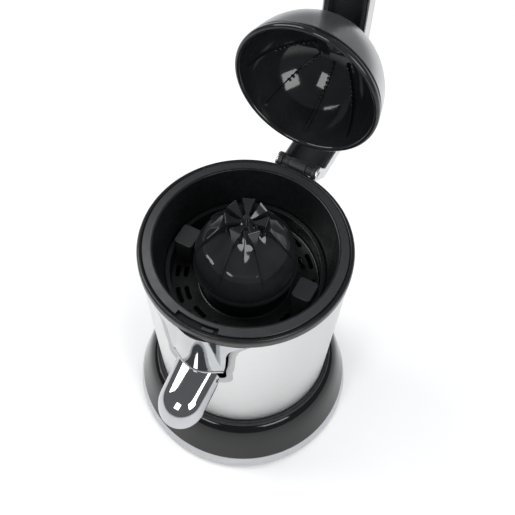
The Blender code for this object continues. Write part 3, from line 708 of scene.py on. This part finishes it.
# (radius, height, half width) up the crest of a fin, which opens at the top into a petal of the crown
CREST_LINE = (
    (0.0377, 0.0172, 0.0003), (0.0363, 0.0231, 0.0005), (0.0328, 0.0308, 0.0006),
    (0.0282, 0.0380, 0.0007), (0.0228, 0.0454, 0.0008), (0.0196, 0.0506, 0.0012),
    (0.0172, 0.0556, 0.0024), (0.0158, 0.0600, 0.0042), (0.0151, 0.0618, 0.0046),
    (0.0140, 0.0618, 0.0042), (0.0096, 0.0588, 0.0027), (0.0052, 0.0562, 0.0013), (0.0024, 0.0548, 0.0005),
)


def cone():
    per_fin, per_span = 28, 6
    columns = FINS * per_fin
    body = curve(BODY_LINE, per_span)
    start = SCOOP_START * per_span
    rows = []
    for i, (r, z) in enumerate(body):
        climb = max(0.0, (i - start) / (len(body) - 1 - start))
        depth = SCOOP_DEPTH * climb**0.4 * (1 - climb**3)
        row = []
        for k in range(columns):
            across = abs((k % per_fin) / per_fin * 2 - 1)
            sink = depth * (1 - across**1.3)
            place = polar(r - SCOOP_OUT * sink, FIN_TURN + 360 * k / columns)
            row.append((*place, CONE_LOW + z - SCOOP_DOWN * sink))
        rows.append(row)
    loops = cone_rings(HOLLOW_LINE, columns) + rows + cone_rings(POST_LINE, columns)
    fins = [fin(FIN_TURN + 360 * k / FINS) for k in range(FINS)]
    piece(
        "squeezing_cone", merged(skin(loops, caps=True), *fins), LOOKS["gloss_black"], "cone",
        ["cone"], sharp=38,
    )


def cone_rings(line, columns):
    """Plain circles for the round stretches of the cone, in step with its fins."""
    angles = [FIN_TURN + 360 * k / columns for k in range(columns)]
    return [[(*polar(r, a), CONE_LOW + z) for a in angles] for r, z in line]


def fin(degrees):
    """A thin upright blade: a crest with a narrow flat, and flanks that run down into the body."""
    out, side = Vector((*polar(1.0, degrees), 0.0)), Vector((*polar(1.0, degrees + 90), 0.0))
    rows = []
    for r, z, half in curve(CREST_LINE, 5):
        crest = out * r + Vector((0, 0, CONE_LOW + z))
        root = out * (0.0023 + 0.62 * r) + Vector((0, 0, CONE_LOW + min(0.72 * z, 0.0400)))
        toward = (root - crest).normalized()
        shoulder = crest + toward * 0.0005
        flat = half - 0.3 * min(half, 0.0008)
        rows.append([
            root - side * half, shoulder - side * half, crest - side * flat,
            crest + side * flat, shoulder + side * half, root + side * half,
        ])
    return skin(rows, caps=True)


# ---------------------------------------------------------------- chrome panel and spout


def hood(x, z):
    """How far the moulded hood over the spout stands out of the panel."""
    share = (PANEL_HIGH - z) / (PANEL_HIGH - PANEL_LOW)
    width, depth = 0.0128 + 0.0070 * share, 0.0018 + 0.0034 * share
    if abs(x) >= width:
        return 0.0
    return depth * math.cos(math.pi * x / (2 * width)) ** 1.1


def chrome_panel():
    """A curved plate that bulges over the spout and ends below in a rolled lip."""
    columns, thick, proud = 80, 0.0018, 0.0004
    outer, inner = [], []
    lip = (
        (-0.0016, -0.0012), (-0.0018, -0.0004), (-0.0014, 0.0005), (-0.0006, 0.0009), (0.0004, 0.0007),
        (0.0012, 0.0),
    )
    bottom = [(PANEL_LINE[0][0], PANEL_LOW + dz, roll) for dz, roll in lip]
    for half_width, z, roll in bottom + [(w, z, 0.0) for w, z in PANEL_LINE if z > PANEL_LOW + 0.0015]:
        xs = [half_width * (2 * j / columns - 1) for j in range(columns + 1)]
        level = max(z, PANEL_LOW)
        outer.append([shell_point(x, z, proud + hood(x, level) + roll) for x in xs])
        inner.append([shell_point(x, z, proud - thick + 0.75 * hood(x, level)) for x in xs])
    piece("hood_panel", sheet(outer, inner), LOOKS["chrome"], "bowl", ["spout_panel"])


SPOUT_ROOT, SPOUT_LONG, SPOUT_NOSE = -0.0750, 0.0435, 0.0180
SPOUT_HALF, SPOUT_WALL = 0.0186, 0.0020
BEAK_LOW, BEAK_FALL = 0.1405, 0.40  # height of its lower edge at the root, and how that falls per metre
SQUARENESS = 0.87  # under 1 makes the arch's shoulders fuller than a half circle's


def beak_row(s, inset, points=28):
    """One cross-section of the beak at the distance s from its root: an arch that closes at the nose."""
    nose = max(0.0, (s - (SPOUT_LONG - inset - SPOUT_NOSE)) / SPOUT_NOSE)
    plan = math.sqrt(max(0.0, 1 - nose**2))
    crest = max(0.0, 1 - nose**2.6) ** (1 / 2.6)
    width = (SPOUT_HALF - inset - 0.014 * s) * plan
    bottom = BEAK_LOW - BEAK_FALL * s
    height = (0.0150 - inset + 0.094 * s) * crest
    row = []
    for k in range(points + 1):
        t = math.pi * k / points
        c, h = math.cos(t), math.sin(t)
        across = math.copysign(abs(c) ** SQUARENESS, c) * width
        row.append((across, SPOUT_ROOT - s, bottom + height * h**SQUARENESS))
    return row


def spout():
    straight = [(SPOUT_LONG - SPOUT_NOSE) * i / 10 for i in range(10)]
    bend = [SPOUT_LONG - SPOUT_NOSE * (1 - math.sin(math.pi / 2 * i / 14)) for i in range(15)]
    stations = straight + bend
    shrink = (SPOUT_LONG - SPOUT_WALL) / SPOUT_LONG
    outer = [beak_row(s, 0.0) for s in stations]
    inner = [beak_row(s * shrink, SPOUT_WALL) for s in stations]
    piece(
        "spout_beak", sheet(outer, inner), LOOKS["chrome"], "spout", ["spout"],
        [cross_rod(0.0016, -0.030, 0.030, SPOUT_PIN_Y, SPOUT_PIN_Z)], sharp=50,
    )
    near, far, under, over = 0.0045, 0.0230, 0.0004, 0.0022
    corners = ((near, under), (far, under), (far, over), (near, over))
    plate = [(SPOUT_ROOT - s, BEAK_LOW - BEAK_FALL * s + up) for s, up in corners]
    piece("spout_floor", prism(plate, "X", -0.0160, 0.0160), LOOKS["chrome"], "spout", bevel=0.0003)


# ---------------------------------------------------------------- lever and dome


ARM_HALF, COVER_HALF = 0.0155, high("lever_cover").x
ARM_FRONT, ARM_BACK, ARM_UNDER, ARM_TOP, ARM_REACH = 0.0070, 0.0172, 0.0556, 0.0660, -0.2080


def arm_outline(grow):
    """Side view of the closed arm, (y, z) from the hinge, with its back and top faces moved out by grow."""
    back, top, inside, outside = ARM_BACK + grow, ARM_TOP + grow, 0.0070, 0.0200 + grow
    points = arc((0.0, 0.0), 0.0060, 300, 105, 24)
    points += [(ARM_FRONT, 0.0140)]
    points += arc((ARM_FRONT - inside, ARM_UNDER - inside), inside, 0, 90, 10)
    points += arc((ARM_REACH + 0.005, ARM_UNDER + 0.005), 0.005, 270, 180, 8)
    points += arc((ARM_REACH + 0.005, top - 0.005), 0.005, 180, 90, 8)
    points += arc((back - outside, top - outside), outside, 90, 0, 18)
    return points + [(back, 0.0140)]


def room_outline(back, top, outside, reach, foot):
    """The room between the cheeks of the arm or the cover, open towards the bowl."""
    points = [(-0.030, -0.020), (0.040, -0.020), (0.040, foot), (back, foot)]
    points += arc((back - outside, top - outside), outside, 0, 90, 18)
    return points + [(reach, top), (reach, 0.040), (-0.030, 0.040)]


def at_hinge(outline):
    return [(PIN.y + y, PIN.z + z) for y, z in outline]


def lever():
    web, cheek = 0.0022, 0.0026
    channel = room_outline(ARM_BACK - web, ARM_TOP - web, 0.0180, ARM_REACH + 0.004, 0.0080)
    arm = prism(at_hinge(arm_outline(0.0)), "X", -ARM_HALF, ARM_HALF)
    room = prism(at_hinge(channel), "X", cheek - ARM_HALF, ARM_HALF - cheek)
    piece(
        "lever_channel", opened(arm), LOOKS["satin_black"], "lever", ["lever_arm"],
        [opened(room), pin_bore()], bevel=0.0005,
    )
    inside = room_outline(ARM_BACK + GAP, ARM_TOP + GAP, 0.0200 + GAP, ARM_REACH - 0.010, 0.0040)
    jacket = prism(at_hinge(arm_outline(0.0018)), "X", -COVER_HALF, COVER_HALF)
    room = prism(at_hinge(inside), "X", -ARM_HALF - GAP, ARM_HALF + GAP)
    piece(
        "lever_jacket", opened(jacket), LOOKS["steel"], "lever", ["lever_cover"],
        [opened(room), pin_bore()], bevel=0.0006,
    )
    grip_low, grip_high = (-0.2035, 0.0570), (-0.1480, 0.0634)
    corners = [grip_low, (grip_high[0], grip_low[1]), grip_high, (grip_low[0], grip_high[1])]
    grip = prism(at_hinge(corners), "X", -0.0125, 0.0125)
    groove, pitch, floor_z, open_z = 0.0012, 0.0038, 0.0576, 0.0560
    grooves = []
    for i in range(12):
        y = -0.1985 + pitch * i
        corners = [(y, open_z), (y + groove, open_z), (y + groove, floor_z), (y, floor_z)]
        grooves.append(prism(at_hinge(corners), "X", -0.0105, 0.0105))
    piece(
        "grip_pad", opened(grip), LOOKS["rubber"], "lever", ["handle_grip"],
        [opened(merged(*grooves))], bevel=0.0003,
    )


def hinge():
    knuckle = arc((PIN.y, PIN.z), 0.0050, -20, 180, 24)
    outline = knuckle + [(0.0808, 0.2030), (0.0806, 0.1780), (0.0870, 0.1780), (0.0905, 0.1900)]
    piece(
        "hinge_knuckle", prism(outline, "X", -0.0070, 0.0070), LOOKS["satin_black"], "base",
        ["hinge_bracket"], [pin_bore()], bevel=0.0006,
    )
    reach = high("hinge_pin").x
    axle = cross_rod(0.0025, -reach, reach, PIN.y, PIN.z)
    piece("hinge_axle", axle, LOOKS["plain_steel"], "base", ["hinge_pin"])


DOME_Z, DOME_R, DOME_H = 0.2020, 0.0522, 0.0560
DOME_RIBS = 9


def dome_curve(radius, height, start, end, steps):
    """(radius, height) points up the dome's wall, in degrees from its rim."""
    turn = [math.radians(start + (end - start) * i / steps) for i in range(steps + 1)]
    return [(radius * math.cos(t), DOME_Z + height * math.sin(t)) for t in turn]


def dome():
    wall = 0.0022
    inside = dome_curve(DOME_R, DOME_H, 4, 89.5, 40)
    outside = dome_curve(DOME_R + wall, DOME_H + wall, 89.5, 6, 40)
    roll = 0.0021
    lip = [(DOME_R + 0.0040, DOME_Z + 2 * roll)] + arc((DOME_R + 0.0020, DOME_Z + roll), roll, 0, -180, 14)
    piece(
        "dome_inside", opened(turned(inside + outside + lip)), LOOKS["gloss_black"], "lever",
        ["press_dome"], sharp=60,
    )
    gap, thick = wall + GAP, 0.0009
    skin_in = dome_curve(DOME_R + gap, DOME_H + gap, 7, 89.5, 40)
    skin_out = dome_curve(DOME_R + gap + thick, DOME_H + gap + thick, 89.5, 7, 40)
    piece(
        "dome_outside", opened(turned(skin_in + skin_out)), LOOKS["steel"], "lever", ["dome_cover"],
        sharp=60,
    )
    ribs = merged(*[rib(180 + 360 * k / DOME_RIBS) for k in range(DOME_RIBS)])
    piece("dome_ribs", opened(ribs), LOOKS["gloss_black"], "lever")
    washer = [(0.0002, 0.0), (0.0088, 0.0), (0.0088, 0.0012, 0.0006), (0.0060, 0.0024), (0.0002, 0.0024)]
    top = DOME_Z + DOME_H - 0.0008
    screw = turned([(r, top - z) for r, z in soften(washer, 0.0003)], 48)
    piece("dome_button", opened(screw), LOOKS["plain_steel"], "lever", ["dome_screw"])


def rib(degrees):
    """A thin rib up the dome's wall; its upper half carries a row of beads."""
    proud, half, bead_r = 0.0019, 0.0010, 0.00115
    wall = dome_curve(DOME_R + 0.0006, DOME_H + 0.0006, 10, 72, 24)
    edge = dome_curve(DOME_R - proud, DOME_H - proud, 10, 72, 24)
    out, side = Vector((*polar(1.0, degrees), 0.0)), Vector((*polar(1.0, degrees + 90), 0.0))
    rows = []
    for (wr, wz), (er, ez) in zip(wall, edge):
        row = []
        for r, z, across in ((wr, wz, -half), (er, ez, -half * 0.7), (er, ez, half * 0.7), (wr, wz, half)):
            row.append(out * r + side * across + Vector((0, 0, z)))
        rows.append(row)
    parts = [skin(rows, caps=True)]
    for angle in range(38, 73, 4):
        t = math.radians(angle)
        height = DOME_Z + (DOME_H - proud) * math.sin(t)
        centre = out * ((DOME_R - proud) * math.cos(t)) + Vector((0, 0, height))
        bead = bmesh.new()
        bmesh.ops.create_uvsphere(bead, u_segments=14, v_segments=8, radius=bead_r)
        bmesh.ops.translate(bead, verts=bead.verts, vec=centre)
        parts.append(bead)
    return merged(*parts)


# ---------------------------------------------------------------- carried-over pieces


CARRIED = {
    "inner_black": ("base_plate", "chassis_tube", "inner_housing", "micro_switch", "motor_cradle"),
    "satin_black": ("dome_neck", "hinge_washer_left", "hinge_washer_right"),
    "plain_steel": ("drive_shaft", "press_spring", "spout_pin_left", "spout_pin_right"),
    "zinc": (
        "gear_cover", "gear_plate", "gear_post_1", "gear_post_2", "gear_post_3", "gear_screw_1", "gear_screw_2",
        "gear_screw_3", "idler_pin", "idler_pinion", "motor_can", "motor_rotor", "switch_lever",
    ),
    "nylon": ("idler_wheel", "output_gear", "thrust_cup"),
    "brass": ("motor_pinion", "shaft_bush"),
    "copper": ("motor_stator",),
}


def carried_over():
    for slot, nodes in CARRIED.items():
        for node in nodes:
            for holder in frame["nodes"][node].material_slots:
                holder.material = LOOKS[slot]


# ---------------------------------------------------------------- camera, floor, light


def camera():
    """Looks down from the front right, from the point where the four main circles line up."""
    azimuth, elevation, roll = math.radians(25.6), math.radians(57.91), math.radians(2.33)
    right = Vector((math.cos(azimuth), math.sin(azimuth), 0))
    level = math.cos(elevation)
    ahead = Vector((-math.sin(azimuth) * level, math.cos(azimuth) * level, -math.sin(elevation)))
    up = right.cross(ahead)
    across = right * math.cos(roll) + up * math.sin(roll)
    upward = up * math.cos(roll) - right * math.sin(roll)
    data = bpy.data.cameras.new("camera")
    data.lens, data.sensor_width = 70.0, 36.0
    obj = bpy.data.objects.new("camera", data)
    obj.matrix_world = Matrix((across, upward, -ahead)).transposed().to_4x4()
    obj.location = (0.178797, -0.352931, RIM_Z + 0.614684)
    bpy.context.scene.collection.objects.link(obj)
    bpy.context.scene.camera = obj


def floor():
    bm = bmesh.new()
    bmesh.ops.create_grid(bm, x_segments=1, y_segments=1, size=4.0)
    mesh = bpy.data.meshes.new("floor")
    bm.to_mesh(mesh)
    bm.free()
    look = Look("floor", 0.7, specular=0.2)
    look.colour((0.86, 0.86, 0.865), (0.89, 0.89, 0.89), look.noise(0.5))
    mesh.materials.append(look.material)
    obj = bpy.data.objects.new("floor", mesh)
    bpy.context.scene.collection.objects.link(obj)


def softbox(name, azimuth, elevation, distance, size, radiance, mirrored=True):
    """A square light that faces the cone; azimuth is in degrees from the front towards +X."""
    aim = Vector((0, 0, RIM_Z))
    away = Vector((*polar(math.cos(math.radians(elevation)), azimuth), math.sin(math.radians(elevation))))
    data = bpy.data.lights.new(name, "AREA")
    data.shape, data.size, data.size_y = "RECTANGLE", size[0], size[1]
    data.energy = radiance * math.pi * size[0] * size[1]
    obj = bpy.data.objects.new(name, data)
    obj.location = aim + away * distance
    obj.rotation_euler = (-away).to_track_quat("-Z", "Y").to_euler()
    obj.visible_glossy = mirrored
    bpy.context.scene.collection.objects.link(obj)


def lights():
    softbox("left", -86, 46, 1.3, (0.62, 0.86), 6.5)
    softbox("front", -8, 36, 1.3, (0.34, 0.56), 7.0)
    softbox("right", 60, 34, 1.3, (0.56, 0.62), 7.0)
    softbox("fill", 150, 70, 2.2, (2.2, 2.2), 2.6, mirrored=False)
    world = bpy.data.worlds.new("studio")
    world.use_nodes = True
    background = world.node_tree.nodes["Background"]
    background.inputs["Color"].default_value = (0.94, 0.97, 1.0, 1)
    background.inputs["Strength"].default_value = 0.20
    bpy.context.scene.world = world
    bpy.context.scene.view_settings.view_transform = "Standard"


def main():
    camera()
    floor()
    lights()
    base()
    steel_body()
    bowl()
    basket()
    cone()
    chrome_panel()
    spout()
    lever()
    hinge()
    dome()
    carried_over()


main()
